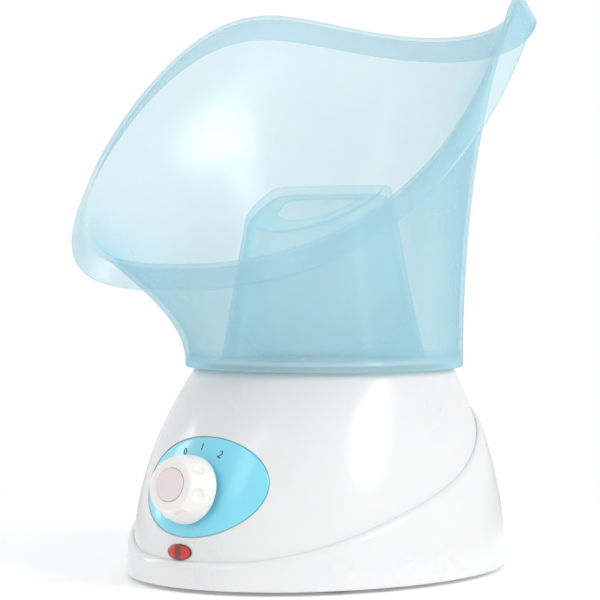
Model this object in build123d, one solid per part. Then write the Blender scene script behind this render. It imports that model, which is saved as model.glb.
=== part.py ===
"""Facial steamer: moulded base with a heated water cup, a rotary power switch,
a lift-out steam funnel and a lift-off face mask.  Millimetres, +Z up, the
control knob towards -Y.  Every piece is modelled about the bowl's upright
axis and moved by AXIS_Y on export, which centres the whole part on Y."""
import os
from math import acos, cos, radians, sin, tan

from build123d import *

# ---- driving dimensions -------------------------------------------------
AXIS_Y = 0.984          # bowl axis, measured from the middle of the whole part

FOOT_H = 2.0            # rubber feet
PLATE_T = 3.0           # bottom plate
WALL = 2.5              # moulded housing wall
SEAM_Z = 102.4          # top of the base, where the mask stands
NECK_R = 65.4           # base radius at the top
SIDE_R, FRONT_R, BACK_R = 85.4, 111.1, 99.5   # base reach at floor level
SIDE_POW, FRONT_POW = 1.92, 2.39              # how late each side curves in
SKIRT_GAP, SKIRT_T = 0.1, 2.4                 # outer band over the housing

MASK_R = 70.3           # mask radius at its foot
MASK_T = 2.2            # mask wall
LIP_R, LIP_DOWN, LIP_LEAN = 3.8, 12.1, 26.5   # rolled lip: roll, drop to its edge, degrees out
MASK_HOLE_R = 56.0
COLLAR_R, COLLAR_T, COLLAR_H = 55.5, 1.5, 4.0

FUNNEL_R, FUNNEL_T = 52.7, 2.0
FUNNEL_TOP_Z, FUNNEL_BACK_Y = 194.6, 8.0      # highest edge of the funnel
FUNNEL_HALF_W, FUNNEL_DEPTH = 36.5, 46.0
FUNNEL_SLOPE = 25.2     # degrees, top plate falling to the front
OUTLET_HALF_W, OUTLET_DEPTH, OUTLET_Y = 22.5, 26.0, 1.5

CUP_R, CUP_FLOOR_Z, CUP_WALL = 35.0, 76.0, 1.5
CUP_FLANGE_R, CUP_SCREW_PCD_R = 47.5, 43.0
DECK_HOLE_R = 38.0

KNOB_Z, KNOB_TILT = 47.3, 14.5                # knob axis on the front panel
KNOB_R, KNOB_WAIST_R, KNOB_FACE_R, KNOB_FACE_H, CAP_R = 16.5, 15.2, 12.3, 16.9, 7.9
KNOB_LIFT = 2.2         # gap between the panel and the knob's rim
DIMPLES, DIMPLE_R, DIMPLE_PCD_R, DIMPLE_H = 7, 4.6, 17.2, 13.2
SHAFT_R = 3.0

DIAL_HALF_W, DIAL_HALF_H, DIAL_Z = 36.2, 23.0, 49.0
DIAL_T, DIAL_GAP = 1.0, 0.5

LAMP_X, LAMP_Z, LAMP_W, LAMP_H = -2.6, 18.8, 15.8, 7.8
GLAND_Z, GLAND_BORE_R = 24.0, 3.3

BOSSES = [(-66, -42), (66, -42), (-56, 56), (56, 56)]   # base screw bosses
FEET = [(-52, -62), (52, -62), (-48, 46), (48, 46)]     # rubber feet


# ---- shared curves ------------------------------------------------------
def reach(z, off=0.0):
    """Half width, front reach and back reach of the base at height z."""
    side = 1 - (z / SEAM_Z) ** SIDE_POW
    front = 1 - (z / SEAM_Z) ** FRONT_POW
    return (NECK_R + (SIDE_R - NECK_R) * side + off,
            NECK_R + (FRONT_R - NECK_R) * front + off,
            NECK_R + (BACK_R - NECK_R) * side + off)


def egg(z, half_w, front, back, mid_y=0.0):
    """Flat face at height z: a half ellipse to the front, another to the back."""
    fore = EllipticalCenterArc((0, mid_y), half_w, front, 180, arc_size=180)
    rear = EllipticalCenterArc((0, mid_y), half_w, back, 0, arc_size=180)
    return Pos(0, 0, z) * make_face(Wire([fore, rear]))


def base_loft(z0, z1, off):
    """Solid of the base's outer shape grown by off, between two heights."""
    levels = [z0] + [z for z in (20, 38, 54, 68, 80, 90, 97) if z0 + 6 < z < z1 - 2] + [z1]
    return loft([egg(z, *reach(z, off)) for z in levels])


def disc(radius, z0, z1, x=0.0, y=0.0):
    return Pos(x, y, (z0 + z1) / 2) * Cylinder(radius, z1 - z0)


def ring(r_out, r_in, z0, z1):
    return disc(r_out, z0, z1) - disc(r_in, z0 - 1, z1 + 1)


def across_y(sketch, y0, y1, x=0.0, z=0.0):
    """A sketch drawn in X and Z, made solid from y0 to y1."""
    plane = Plane(origin=(x, y1, z), x_dir=(1, 0, 0), z_dir=(0, -1, 0))
    return extrude(plane * sketch, y1 - y0)


def lamp_oval(less):
    """Oval outline of the lamp, less mm smaller across."""
    return Ellipse((LAMP_W - less) / 2, (LAMP_H - less) / 2)


def knob_frame(height=0.0):
    """Plane square to the knob's axis, height mm out from the panel."""
    tilt = radians(KNOB_TILT)
    out = Vector(0, -cos(tilt), sin(tilt))
    foot = Vector(0, -reach(KNOB_Z)[1], KNOB_Z)
    return Plane(origin=foot + out * height, x_dir=(1, 0, 0), z_dir=out)


def on_knob(radius, h0, h1):
    return knob_frame(h0) * extrude(Circle(radius), h1 - h0)


# ---- base mouldings -----------------------------------------------------
def screw_boss(x, y):
    """Blind screw boss with a rib that ties it to the housing wall."""
    rib = Pos(x + (15 if x > 0 else -15), y, 21) * Box(30, 2.4, 32)
    return disc(4.2, FOOT_H + PLATE_T, 38, x, y) + rib


def make_upper_housing():
    foot = FOOT_H + PLATE_T
    outer = base_loft(foot, SEAM_Z, 0)
    shell = outer - base_loft(foot - 1, SEAM_Z - WALL, -WALL)
    bosses = screw_boss(*BOSSES[0])
    for x, y in BOSSES[1:]:
        bosses += screw_boss(x, y)
    shell += bosses & outer
    shell += ring(COLLAR_R, COLLAR_R - COLLAR_T, SEAM_Z - 1, SEAM_Z + COLLAR_H)
    shell -= disc(DECK_HOLE_R, 90, 110)
    for x, y in BOSSES:
        shell -= disc(1.55, foot - 1, 30, x, y)
    for spot in PolarLocations(CUP_SCREW_PCD_R, 3, 30):
        shell -= spot * disc(1.7, 95, 104)
    recess = across_y(Ellipse(DIAL_HALF_W + DIAL_GAP, DIAL_HALF_H + DIAL_GAP), -125, -60, z=DIAL_Z)
    shell -= recess & (base_loft(14, 84, 1) - base_loft(14, 84, -DIAL_T))
    shell -= on_knob(4.7, -12, 8)
    shell -= across_y(lamp_oval(1.2), -125, -95, LAMP_X, LAMP_Z)
    return shell - across_y(Circle(6.1), 85, 110, z=GLAND_Z)


def make_skirt_shell():
    """Lower outer band; its top edge sweeps up from the front to the back."""
    off = SKIRT_GAP + SKIRT_T
    band = base_loft(FOOT_H, 96, off) - base_loft(FOOT_H - 1, 97, SKIRT_GAP)
    edge = [(-122, 14.2), (-105, 15.4), (-90, 19.2), (-75, 23.8), (-60, 29), (-42, 35.3), (-20, 42.7),
            (0, 50.3), (20, 59.8), (40, 71), (60, 81.5), (80, 88.3), (110, 91)]
    curve = Spline(*[(0, y, z) for y, z in edge])
    sides = Polyline((0, 110, 91), (0, 110, 120), (0, -122, 120), (0, -122, 14.2))
    above = extrude(make_face(Wire([curve, *sides.edges()])), 120, both=True)
    return band - above - across_y(Circle(6.1), 85, 110, z=GLAND_Z)


def make_bottom_plate():
    plate = base_loft(FOOT_H, FOOT_H + PLATE_T, 0)
    for x, y in BOSSES:
        plate -= disc(1.7, 0, 8, x, y) + disc(3.4, 0, FOOT_H + 1.6, x, y)
    for x, y in FEET:
        plate -= disc(3.0, 0, 8, x, y)
    for x in range(-24, 25, 8):
        plate -= Pos(x, -8, 3) * Box(3, 34, 8)
    return plate


def make_rubber_feet():
    return [disc(8, 0, FOOT_H, x, y) + disc(2.95, FOOT_H, FOOT_H + PLATE_T, x, y) for x, y in FEET]


def make_housing_screws():
    return [disc(3.0, FOOT_H + 0.1, FOOT_H + 1.6, x, y) + disc(1.5, FOOT_H + 1.6, 24, x, y)
            for x, y in BOSSES]


# ---- water cup and heater -----------------------------------------------
def make_water_cup():
    top, foot_r = SEAM_Z + 1.0, CUP_R - 2.5
    body = Pos(0, 0, CUP_FLOOR_Z - CUP_WALL) * extrude(Circle(foot_r + CUP_WALL), top - CUP_FLOOR_Z + CUP_WALL,
                                                       taper=-4.5)
    cup = body + disc(CUP_FLANGE_R, top, top + 1.2)
    bowl = Pos(0, 0, CUP_FLOOR_Z) * extrude(Circle(foot_r), top + 1.2 - CUP_FLOOR_Z, taper=-4.5)
    cup -= bowl
    for x in (-27, 27):
        cup += disc(3.2, 66.9, CUP_FLOOR_Z - 1, x)
        cup -= disc(1.5, 66, 73, x)
    for spot in PolarLocations(CUP_SCREW_PCD_R, 3, 30):
        cup -= spot * disc(1.7, 95, 110)
    return cup


def drilled_ring(r_out, r_in, z0, z1, hole_r):
    part = ring(r_out, r_in, z0, z1)
    for spot in PolarLocations(CUP_SCREW_PCD_R, 3, 30):
        part -= spot * disc(hole_r, z0 - 1, z1 + 1)
    return part


def make_cup_screws():
    top = SEAM_Z + 2.2
    return [spot * (disc(2.8, top, top + 1.6) + disc(1.5, 97.2, top))
            for spot in PolarLocations(CUP_SCREW_PCD_R, 3, 30)]


def make_heater_clamp():
    clamp = disc(22.5, 64.9, 66.3) + Pos(0, 0, 65.6) * Box(64, 12, 1.4)
    for x in (-27, 27):
        clamp -= disc(1.6, 60, 70, x)
    return clamp


def make_heater_screws():
    return [disc(2.8, 63.1, 64.9, x) + disc(1.45, 64.9, 72, x) for x in (-27, 27)]


def make_thermostat():
    blades = [Pos(x, 0, 54.4) * Box(0.8, 4.8, 7) for x in (-4, 4)]
    return disc(8, 57.9, 64.9) + blades[0] + blades[1]


def make_thermal_fuse():
    return Pos(14.5, 0, 62.8) * Rot(90, 0, 0) * Cylinder(2.0, 12)


# ---- switch, knob and lamp ----------------------------------------------
def make_switch_housing():
    body = knob_frame(-24.5) * extrude(Rectangle(24, 24), 18)
    body += on_knob(4.5, -6.5, 3.0)
    body -= on_knob(9.6, -22.5, -8.5)
    return body - on_knob(SHAFT_R + 0.05, -10, 5)


def make_switch_nut():
    nut = knob_frame(0.7) * extrude(RegularPolygon(6.6, 6), 1.3)
    return nut - on_knob(4.55, -1, 5)


def make_switch_terminals():
    return [knob_frame(-33.5) * extrude(Pos(x, y) * Rectangle(4.8, 0.8), 9)
            for x, y in ((-7, -6), (7, -6), (0, 7))]


def make_switch_shaft():
    return on_knob(SHAFT_R, -21.5, 14.0)


def make_switch_rotor():
    """Contact carrier on the shaft, with three cam lobes."""
    rotor = on_knob(7.4, -15.0, -10.5)
    for spot in PolarLocations(5.9, 3, 90):
        rotor += knob_frame(-15.0) * spot * extrude(Circle(3.0), 4.5)
    return rotor - on_knob(SHAFT_R, -23, 0)


def make_control_knob():
    """Hollow knob: straight rim, tapered grip with seven finger dimples."""
    h0 = KNOB_LIFT
    rim = on_knob(KNOB_R, h0, h0 + 3.0)
    grip = knob_frame(h0 + 3.0) * loft([Circle(KNOB_R), Pos(0, 0, 6.0) * Circle(KNOB_WAIST_R),
                                        Pos(0, 0, KNOB_FACE_H - h0 - 3.0) * Circle(KNOB_FACE_R)], ruled=True)
    knob = rim + grip
    knob -= on_knob(KNOB_R - 2.6, h0 - 1, h0 + 5.0) + on_knob(11.5, h0 + 4, 14.5)
    knob += on_knob(5.4, 4.0, 15.5)
    knob -= on_knob(SHAFT_R + 0.02, 0, 14.0)
    for spot in PolarLocations(DIMPLE_PCD_R, DIMPLES, -13):
        knob -= knob_frame(DIMPLE_H) * spot * Sphere(DIMPLE_R)
    return knob - on_knob(CAP_R + 0.1, KNOB_FACE_H - 0.8, KNOB_FACE_H + 2)


def make_escutcheon():
    oval = across_y(Ellipse(DIAL_HALF_W, DIAL_HALF_H), -125, -60, z=DIAL_Z)
    plate = oval & (base_loft(14, 84, 0) - base_loft(14, 84, 0.05 - DIAL_T))
    return plate - on_knob(4.7, -12, 8)


def make_lamp_lens():
    front = -reach(LAMP_Z)[1]
    bezel = across_y(lamp_oval(0), front - 1.5, front + 2.4, LAMP_X, LAMP_Z)
    bezel -= base_loft(10, 30, 0.04)
    body = across_y(lamp_oval(1.5), front - 0.6, front + 9, LAMP_X, LAMP_Z)
    hollow = across_y(lamp_oval(3.2), front + 0.6, front + 12, LAMP_X, LAMP_Z)
    return bezel + body - hollow


def make_neon_lamp():
    front = -reach(LAMP_Z)[1]
    return across_y(Circle(1.9), front + 1.2, front + 14, LAMP_X, LAMP_Z)


def make_lamp_clip():
    """Flat spring clip that grips the lens behind the front wall."""
    front = -reach(LAMP_Z)[1]
    clip = across_y(Rectangle(20, 11), front + 5.0, front + 6.0, LAMP_X, LAMP_Z + 1)
    return clip - across_y(lamp_oval(1.4), front + 4, front + 7, LAMP_X, LAMP_Z)


# ---- supply inlet and internal leads ------------------------------------
def make_cord_gland():
    back = reach(GLAND_Z)[2] + SKIRT_GAP + SKIRT_T
    flange = across_y(Circle(8.6), back - 2.4, back + 3, z=GLAND_Z) - base_loft(8, 40, SKIRT_GAP + SKIRT_T + 0.04)
    body = across_y(Circle(6.0), back - 9, back + 1, z=GLAND_Z)
    grip = across_y(Circle(7.2), back - 12, back - 9, z=GLAND_Z)
    return flange + body + grip - across_y(Circle(GLAND_BORE_R), back - 20, back + 10, z=GLAND_Z)


TERMINAL_Y = 58.0


def make_terminal_block():
    floor = FOOT_H + PLATE_T
    block = Pos(0, TERMINAL_Y, floor + 6) * Box(30, 14, 12)
    for x in (-9, 0, 9):
        block -= Pos(x, TERMINAL_Y, floor + 5) * Rot(90, 0, 0) * Cylinder(2.2, 20)
        block -= disc(2.4, floor + 8, floor + 14, x, TERMINAL_Y)
    return block


def make_terminal_screws():
    floor = FOOT_H + PLATE_T
    return [disc(2.2, floor + 8.4, floor + 11, x, TERMINAL_Y) for x in (-9, 0, 9)]


def lead(points, radii, radius=1.2):
    """Round insulated wire along straight runs joined by arcs."""
    path = FilletPolyline(*points, radius=radii)
    return sweep(Plane(origin=path @ 0, z_dir=path % 0) * Circle(radius), path=path)


def make_live_leads():
    return [lead([(-9, 50, 10), (-24, 30, 12), (-30, -20, 16), (-16, -62, 26)], [14, 20]),
            lead([(16, -64, 30), (24, -40, 44), (20, -12, 52), (5.4, 0, 52.5)], [16, 8])]


def make_neutral_lead():
    return lead([(9, 50, 10), (26, 36, 20), (26, 24, 50), (14.5, 9, 62)], [14, 10])


# ---- face mask ----------------------------------------------------------
def crest(phi):
    """Radius and height of the lip's top, phi degrees round from the front."""
    a = radians(phi)
    radius = 110.4 + 8.2 * cos(a) + 5.35 * cos(2 * a) - 5.9 * cos(3 * a)
    height = 234.6 - 69.9 * cos(a) - 21.2 * cos(2 * a) + 9.0 * cos(3 * a) + 2.35 * cos(4 * a)
    return Vector(radius, height)


def arc(centre, radius, start, end):
    """Bezier arc about a centre between two unit directions."""
    turn = acos(max(min(start.dot(end), 1), -1))
    handle = radius * 4 / 3 * tan(turn / 4)
    p, q = centre + start * radius, centre + end * radius
    way = 1 if start.X * end.Y - start.Y * end.X > 0 else -1
    return Bezier(p, p + Vector(-start.Y, start.X) * handle * way, q - Vector(-end.Y, end.X) * handle * way, q)


def mask_section(phi):
    """Wall and rolled lip cut by the upright plane at angle phi."""
    a = radians(phi)
    place = Plane(origin=(0, 0, 0), x_dir=(sin(a), -cos(a), 0), z_dir=(-cos(a), -sin(a), 0))
    top = crest(phi)
    bow = 0.5 - 0.17 * cos(a)       # how high the wall stays upright, as a share of its height
    rise = Vector(top.X - MASK_R, (top.Y - SEAM_Z) * (1 - bow)).normalized()
    lean = radians(LIP_LEAN - 6 * cos(a))
    fall = Vector(sin(lean), -cos(lean))
    hub = top - Vector(0, LIP_R)
    inward, outward = Vector(-rise.Y, rise.X), Vector(-fall.Y, fall.X)
    length = (LIP_DOWN - LIP_R + LIP_R * outward.Y) / cos(lean)
    in_top, out_top = hub + inward * LIP_R, hub + inward * (LIP_R - MASK_T)
    out_lip, in_lip = hub + outward * LIP_R, hub + outward * (LIP_R - MASK_T)
    tip, tip_in = out_lip + fall * length, in_lip + fall * length
    out_foot, in_foot = Vector(MASK_R, SEAM_Z), Vector(MASK_R - MASK_T, SEAM_Z)
    edges = [
        Bezier(out_foot, Vector(MASK_R, SEAM_Z + (out_top.Y - SEAM_Z) * bow), out_top),
        arc(hub, LIP_R - MASK_T, inward, outward),
        Line(in_lip, tip_in),
        Line(tip_in, tip),
        Line(tip, out_lip),
        arc(hub, LIP_R, outward, inward),
        Bezier(in_top, Vector(in_foot.X, SEAM_Z + (in_top.Y - SEAM_Z) * bow), in_foot),
        Line(in_foot, out_foot),
    ]
    return place * make_face(Wire(edges))


def make_face_mask():
    half = loft([mask_section(phi) for phi in range(0, 181, 12)])
    floor = ring(MASK_R - 1, MASK_HOLE_R, SEAM_Z, SEAM_Z + 2.6)
    return half + mirror(half, Plane.YZ) + floor


# ---- steam funnel -------------------------------------------------------
def funnel_loft(z0, z1, inset):
    """Circle at the foot growing into a D at the top, walls moved in by inset."""
    faces = []
    for i in range(6):
        z = z0 + (z1 - z0) * i / 5
        t = (z - SEAM_Z) / (FUNNEL_TOP_Z - SEAM_Z)
        half_w = FUNNEL_R + (FUNNEL_HALF_W - FUNNEL_R) * t - inset
        front = FUNNEL_R + (FUNNEL_DEPTH - FUNNEL_R) * t - inset * (1 + t)
        back = (FUNNEL_R - inset) * (1 - t) + 2.5 * t
        faces.append(egg(z, half_w, front, back, (FUNNEL_BACK_Y - 2.5 - inset) * t))
    return loft(faces)


def above_plate(drop):
    """Everything above the slanted top, lowered by drop."""
    origin = (0, FUNNEL_BACK_Y, FUNNEL_TOP_Z - drop)
    tilt = radians(FUNNEL_SLOPE)
    return extrude(Plane(origin=origin, x_dir=(1, 0, 0), z_dir=(0, -sin(tilt), cos(tilt))) * Rectangle(160, 200), 80)


def make_steam_funnel():
    top = FUNNEL_TOP_Z + 3
    funnel = funnel_loft(SEAM_Z, top, 0) - above_plate(0)
    funnel -= funnel_loft(SEAM_Z - 1, top, FUNNEL_T) - above_plate(4.8)
    funnel -= funnel_loft(SEAM_Z + 40, top, 3.4) & above_plate(2.6)
    outlet = make_face(Wire([EllipticalCenterArc((0, OUTLET_Y), OUTLET_HALF_W, OUTLET_DEPTH, 180, arc_size=180),
                             Line((OUTLET_HALF_W, OUTLET_Y), (-OUTLET_HALF_W, OUTLET_Y))]))
    funnel -= Pos(0, 0, 150) * extrude(outlet, 60)
    return funnel + ring(53.5, FUNNEL_R - 2, SEAM_Z, SEAM_Z + 2)


# ---- export -------------------------------------------------------------
PIECES = {
    "upper_housing": make_upper_housing,
    "skirt_shell": make_skirt_shell,
    "bottom_plate": make_bottom_plate,
    "rubber_feet": make_rubber_feet,
    "housing_screws": make_housing_screws,
    "water_cup": make_water_cup,
    "cup_gasket": lambda: drilled_ring(47.0, 38.6, SEAM_Z, SEAM_Z + 1.0, 1.7),
    "cup_clamp_ring": lambda: drilled_ring(47.0, 38.6, SEAM_Z - WALL - 2.0, SEAM_Z - WALL, 1.55),
    "cup_screws": make_cup_screws,
    "ptc_heater": lambda: disc(22, 67.5, CUP_FLOOR_Z - CUP_WALL),
    "mica_sheet": lambda: disc(22.4, 66.3, 67.5),
    "heater_clamp": make_heater_clamp,
    "heater_screws": make_heater_screws,
    "thermostat": make_thermostat,
    "thermal_fuse": make_thermal_fuse,
    "escutcheon": make_escutcheon,
    "switch_housing": make_switch_housing,
    "switch_nut": make_switch_nut,
    "switch_terminals": make_switch_terminals,
    "lamp_lens": make_lamp_lens,
    "neon_lamp": make_neon_lamp,
    "lamp_clip": make_lamp_clip,
    "cord_gland": make_cord_gland,
    "terminal_block": make_terminal_block,
    "terminal_screws": make_terminal_screws,
    "live_leads": make_live_leads,
    "neutral_lead": make_neutral_lead,
    "control_knob": make_control_knob,
    "knob_cap": lambda: on_knob(CAP_R, KNOB_FACE_H - 0.8, KNOB_FACE_H + 0.3),
    "switch_shaft": make_switch_shaft,
    "switch_rotor": make_switch_rotor,
    "face_mask": make_face_mask,
    "steam_funnel": make_steam_funnel,
}

os.makedirs("parts", exist_ok=True)
for name, make in PIECES.items():
    made = make()
    solids = [s for piece in (made if isinstance(made, list) else [made]) for s in piece.solids()]
    export_step(Pos(0, AXIS_Y, 0) * Compound(solids), f"parts/{name}.step")
    print(f"{name}: {len(solids)} solid(s)")
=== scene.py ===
from math import atan2, cos, pi, radians, sin, sqrt

import bmesh
import bpy
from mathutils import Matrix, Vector


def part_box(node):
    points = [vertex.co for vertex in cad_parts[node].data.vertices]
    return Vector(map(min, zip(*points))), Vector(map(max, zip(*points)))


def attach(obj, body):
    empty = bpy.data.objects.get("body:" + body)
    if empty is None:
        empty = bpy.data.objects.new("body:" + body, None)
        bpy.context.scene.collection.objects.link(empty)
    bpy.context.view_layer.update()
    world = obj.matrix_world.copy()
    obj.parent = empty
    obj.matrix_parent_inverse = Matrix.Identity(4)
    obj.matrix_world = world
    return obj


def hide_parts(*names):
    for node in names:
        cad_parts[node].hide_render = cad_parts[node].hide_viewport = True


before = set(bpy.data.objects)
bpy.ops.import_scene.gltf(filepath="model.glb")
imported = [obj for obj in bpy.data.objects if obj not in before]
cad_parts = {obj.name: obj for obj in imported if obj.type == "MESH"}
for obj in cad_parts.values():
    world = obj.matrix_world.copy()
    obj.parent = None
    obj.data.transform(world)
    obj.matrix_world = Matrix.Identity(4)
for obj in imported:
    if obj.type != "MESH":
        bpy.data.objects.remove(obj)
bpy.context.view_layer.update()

# ==== The table and the light ===============================================
# A white seamless table under a bright even sky, with two large soft lamps, high in front and
# high on the right, and a slim one low on the left that lights the edges.  Lengths are written
# in millimetres from the bowl's upright axis, and turned into metres where a mesh is made.
MM = 0.001
AXIS_Y = sum(corner.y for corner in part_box("steam_funnel")) / 2


def place(x, y, z):
    """A point in millimetres about the bowl's axis, in metres in the part's frame."""
    return Vector((x * MM, y * MM + AXIS_Y, z * MM))


def linear(code):
    """An sRGB hex colour as linear red, green, blue and alpha."""
    parts = [int(code[i:i + 2], 16) / 255 for i in (1, 3, 5)]
    return (*[c / 12.92 if c <= 0.04045 else ((c + 0.055) / 1.055) ** 2.4 for c in parts], 1.0)


def put(tree, kind, wires=None, **settings):
    """Adds a node, gives it settings or socket values, and links its sockets from other nodes."""
    made = tree.nodes.new("ShaderNode" + kind)
    for key, value in settings.items():
        if key in made.bl_rna.properties:
            setattr(made, key, value)
        else:
            made.inputs[key.replace("_", " ")].default_value = value
    for key, source in (wires or {}).items():
        tree.links.new(source, made.inputs[key])
    return made


def blank_material(name):
    made = bpy.data.materials.new(name)
    made.use_nodes = True
    made.node_tree.nodes.clear()
    return made, made.node_tree


def turn_to(thing, target):
    thing.rotation_euler = (target - thing.location).to_track_quat("-Z", "Y").to_euler()


CAMERA_TURN, CAMERA_RISE, CAMERA_AWAY = 37.57, 1.3, 1217.0
CAMERA_SIDE, CAMERA_HEIGHT, CAMERA_LENS = -12.31, 135.95, 143.9
turn, rise = radians(CAMERA_TURN), radians(CAMERA_RISE)
toward = Vector((sin(turn) * cos(rise), -cos(turn) * cos(rise), sin(rise)))
aim = place(CAMERA_SIDE * cos(turn), CAMERA_SIDE * sin(turn), CAMERA_HEIGHT)
camera = bpy.data.objects.new("camera", bpy.data.cameras.new("camera"))
bpy.context.scene.collection.objects.link(camera)
camera.data.sensor_width = 36
camera.data.lens = CAMERA_LENS
camera.data.clip_end = 50
camera.location = aim + toward * CAMERA_AWAY * MM
turn_to(camera, aim)
bpy.context.scene.camera = camera
bpy.context.scene.view_settings.view_transform = "Standard"
bpy.context.scene.cycles.transparent_max_bounces = 32

# The sky is a little brighter at the horizon than overhead; seen directly it is plain white.
SKY_SEEN, SKY_HORIZON, SKY_ZENITH = 1.0, 0.97, 0.74
sky = bpy.data.worlds.new("studio_sky")
bpy.context.scene.world = sky
sky.use_nodes = True
tree = sky.node_tree
tree.nodes.clear()
ray = put(tree, "LightPath")
up = put(tree, "SeparateXYZ", {"Vector": put(tree, "TexCoord").outputs["Generated"]})
climb = put(tree, "MapRange", {"Value": up.outputs["Z"]}, To_Min=SKY_HORIZON, To_Max=SKY_ZENITH)
level = put(tree, "Mix", {"Factor": ray.outputs["Is Camera Ray"], "A": climb.outputs[0]}, B=SKY_SEEN)
shine = put(tree, "Background", {"Strength": level.outputs[0]}, Color=linear("#ffffff"))
put(tree, "OutputWorld", {"Surface": shine.outputs[0]})

LAMPS = [  # name, place, width, height, watts
    ("soft_box_front", (0, -930, 900), 250, 800, 1.1),
    ("soft_box_right", (1040, 30, 700), 280, 480, 5.2),
    ("rim_box_left", (-900, -260, 380), 160, 520, 0.9),
]
for name, spot, width, height, power in LAMPS:
    lamp = bpy.data.objects.new(name, bpy.data.lights.new(name, "AREA"))
    lamp.data.shape, lamp.data.size, lamp.data.size_y = "RECTANGLE", width * MM, height * MM
    lamp.data.energy = power
    lamp.location = place(*spot)
    turn_to(lamp, place(0, 0, 130))
    bpy.context.scene.collection.objects.link(lamp)

TABLE_REACH = 9000
table = bpy.data.meshes.new("table_top")
table.from_pydata([place(x, y, 0) for x, y in ((-TABLE_REACH, -TABLE_REACH), (TABLE_REACH, -TABLE_REACH),
                                               (TABLE_REACH, TABLE_REACH), (-TABLE_REACH, TABLE_REACH))],
                  [], [(0, 1, 2, 3)])
table = bpy.data.objects.new("table_top", table)
bpy.context.scene.collection.objects.link(table)

# Matt white board near the piece; further off it melts into the white of the studio, so no
# edge of the table shows.  Its own glow stands for the light that the far sweep throws back.
NEAR, FAR = 190, 420
painted_board, tree = blank_material("painted_white_board")
where = put(tree, "TexCoord").outputs["Object"]
away = put(tree, "VectorMath", {0: where}, operation="LENGTH")
fade = put(tree, "MapRange", {"Value": away.outputs["Value"]}, From_Min=NEAR * MM, From_Max=FAR * MM,
           interpolation_type="SMOOTHSTEP")
coat = put(tree, "BsdfPrincipled", Base_Color=linear("#fdfdfd"), Roughness=0.8,
           Emission_Color=linear("#ffffff"), Emission_Strength=0.1)
ray = put(tree, "LightPath")
glow_level = put(tree, "MapRange", {"Value": ray.outputs["Is Camera Ray"]}, To_Min=0.6, To_Max=1.0)
glow = put(tree, "Emission", {"Strength": glow_level.outputs[0]}, Color=linear("#ffffff"))
both = put(tree, "MixShader", {0: fade.outputs[0], 1: coat.outputs[0], 2: glow.outputs[0]})
put(tree, "OutputMaterial", {"Surface": both.outputs[0]})
table.data.materials.append(painted_board)


# ==== The base housing ======================================================
# One white ABS dome, injection moulded, about 2.5 mm thick.  It is an egg in plan, longer to
# the front, and draws in to a round neck with a flat deck.  A low collar on the deck keeps the
# mask and the funnel central, and an oval pocket in the front takes the dial plate.
ROUND = 144             # points round each ring
FOOT_H, PLATE_T, WALL = 2.0, 3.0, 2.5
SEAM_Z, NECK_R = 102.4, 65.4
SIDE_R, FRONT_R, BACK_R = 85.4, 111.1, 99.5
SIDE_POW, FRONT_POW = 1.92, 2.39
COLLAR_R, COLLAR_T, COLLAR_H = 55.5, 1.5, 4.0
DECK_HOLE_R = 38.0
DIAL_HALF_W, DIAL_HALF_H, DIAL_Z = 36.2, 23.0, 49.0
DIAL_T, DIAL_GAP = 1.0, 0.5
KNOB_Z, KNOB_TILT = 47.3, 14.5
LAMP_X, LAMP_Z, LAMP_W, LAMP_H = -2.6, 18.8, 15.8, 7.8
GLAND_Z = 24.0


def reach(z, off=0.0):
    """Half width, front reach and back reach of the base at height z, grown by off."""
    share = min(max(z / SEAM_Z, 0), 1)
    side, front = 1 - share ** SIDE_POW, 1 - share ** FRONT_POW
    return (NECK_R + (SIDE_R - NECK_R) * side + off, NECK_R + (FRONT_R - NECK_R) * front + off,
            NECK_R + (BACK_R - NECK_R) * side + off)


def around(count=ROUND):
    return [2 * pi * i / count for i in range(count)]


def egg_ring(z, off=0.0, count=ROUND):
    """Loop round the base at height z; it starts at the front and goes round by the right."""
    half_w, front, back = reach(z, off)
    return [(half_w * sin(a), -(front if cos(a) > 0 else back) * cos(a), z) for a in around(count)]


def round_ring(radius, z, count=ROUND, x=0.0, y=0.0):
    return [(x + radius * sin(a), y - radius * cos(a), z) for a in around(count)]


def skin(name, rings, tube=False, smooth=35):
    """Mesh through rings of points.  A tube joins its last ring to its first; else ends are filled."""
    made = bmesh.new()
    rows = [[made.verts.new(place(*p)) for p in ring] for ring in rings]
    for low, high in zip(rows, rows[1:] + rows[:1] if tube else rows[1:]):
        for i in range(len(low)):
            j = (i + 1) % len(low)
            made.faces.new((low[i], low[j], high[j], high[i]))
    if not tube:
        for row in (rows[0], rows[-1]):
            hub = made.verts.new(sum((v.co for v in row), Vector()) / len(row))
            for i in range(len(row)):
                made.faces.new((row[i], row[(i + 1) % len(row)], hub))
    return as_piece(name, made, smooth)


def as_piece(name, made, smooth=35):
    """Turns a bmesh into a linked object, faces outward, edges sharper than smooth kept crisp."""
    bmesh.ops.recalc_face_normals(made, faces=made.faces)
    mesh = bpy.data.meshes.new(name)
    made.to_mesh(mesh)
    made.free()
    mesh.shade_smooth()
    mesh.set_sharp_from_angle(angle=radians(smooth))
    piece = bpy.data.objects.new(name, mesh)
    bpy.context.scene.collection.objects.link(piece)
    return piece


def cut(piece, cutters, join=False):
    """Cuts closed meshes out of a piece for good, or joins them to it, and drops the cutters."""
    for cutter in cutters:
        change = piece.modifiers.new("cut", "BOOLEAN")
        change.operation, change.solver = "UNION" if join else "DIFFERENCE", "EXACT"
        change.object = cutter
        shape = bpy.data.meshes.new_from_object(piece.evaluated_get(bpy.context.evaluated_depsgraph_get()))
        piece.modifiers.clear()
        piece.data = shape
        bpy.data.objects.remove(cutter)
    piece.data.shade_smooth()
    piece.data.set_sharp_from_angle(angle=radians(32))


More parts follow.
